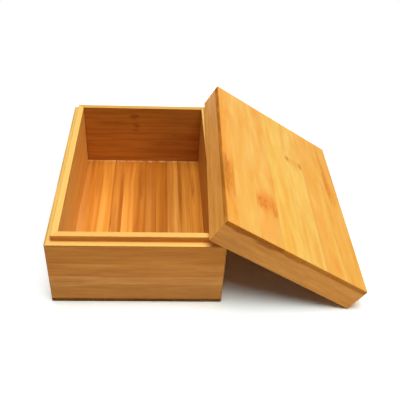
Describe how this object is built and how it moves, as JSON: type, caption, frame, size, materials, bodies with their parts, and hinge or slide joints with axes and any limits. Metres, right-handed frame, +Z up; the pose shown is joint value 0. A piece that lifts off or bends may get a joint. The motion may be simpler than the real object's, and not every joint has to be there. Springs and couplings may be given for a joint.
{
  "type": "bamboo storage box",
  "caption": "Rectangular laminated bamboo storage box with a rabbeted rim and a flush lift-off lid, shown open with the lid leaning on one side wall.",
  "frame": {"origin": "centre of the box's underside, on the surface it stands on", "axes": "+Z up, +Y to the back of the box, +X to the right, towards the leaning lid"},
  "size_m": [0.2876, 0.2361, 0.0993],
  "materials": {
    "bamboo_wall": "satin lacquer over sanded bamboo",
    "bamboo_base": "satin lacquer over sanded bamboo",
    "bamboo_lid_rail": "satin lacquer over sanded bamboo",
    "bamboo_lid_board": "satin lacquer over sanded bamboo"
  },
  "bodies": {
    "box": {"back_wall_course_1": "bamboo_wall", "back_wall_course_2": "bamboo_wall", "back_wall_course_3": "bamboo_wall", "back_wall_course_4": "bamboo_wall", "base_strip_1": "bamboo_base", "base_strip_10": "bamboo_base", "base_strip_11": "bamboo_base", "base_strip_12": "bamboo_base", "base_strip_13": "bamboo_base", "base_strip_2": "bamboo_base", "base_strip_3": "bamboo_base", "base_strip_4": "bamboo_base", "base_strip_5": "bamboo_base", "base_strip_6": "bamboo_base", "base_strip_7": "bamboo_base", "base_strip_8": "bamboo_base", "base_strip_9": "bamboo_base", "front_wall_course_1": "bamboo_wall", "front_wall_course_2": "bamboo_wall", "front_wall_course_3": "bamboo_wall", "front_wall_course_4": "bamboo_wall", "left_wall_course_1": "bamboo_wall", "left_wall_course_2": "bamboo_wall", "left_wall_course_3": "bamboo_wall", "left_wall_course_4": "bamboo_wall", "right_wall_course_1": "bamboo_wall", "right_wall_course_2": "bamboo_wall", "right_wall_course_3": "bamboo_wall", "right_wall_course_4": "bamboo_wall"},
    "lid": {"lid_back_rail": "bamboo_lid_rail", "lid_front_rail": "bamboo_lid_rail", "lid_left_rail": "bamboo_lid_rail", "lid_right_rail": "bamboo_lid_rail", "lid_strip_1": "bamboo_lid_board", "lid_strip_2": "bamboo_lid_board", "lid_strip_3": "bamboo_lid_board", "lid_strip_4": "bamboo_lid_board", "lid_strip_5": "bamboo_lid_board", "lid_strip_6": "bamboo_lid_board", "lid_strip_7": "bamboo_lid_board"}
  },
  "joints": [
    {"name": "lid_lift", "type": "slide", "parent": "box", "child": "lid", "axis": [0, 0, 1], "range_m": [0, 0.09]}
  ]
}
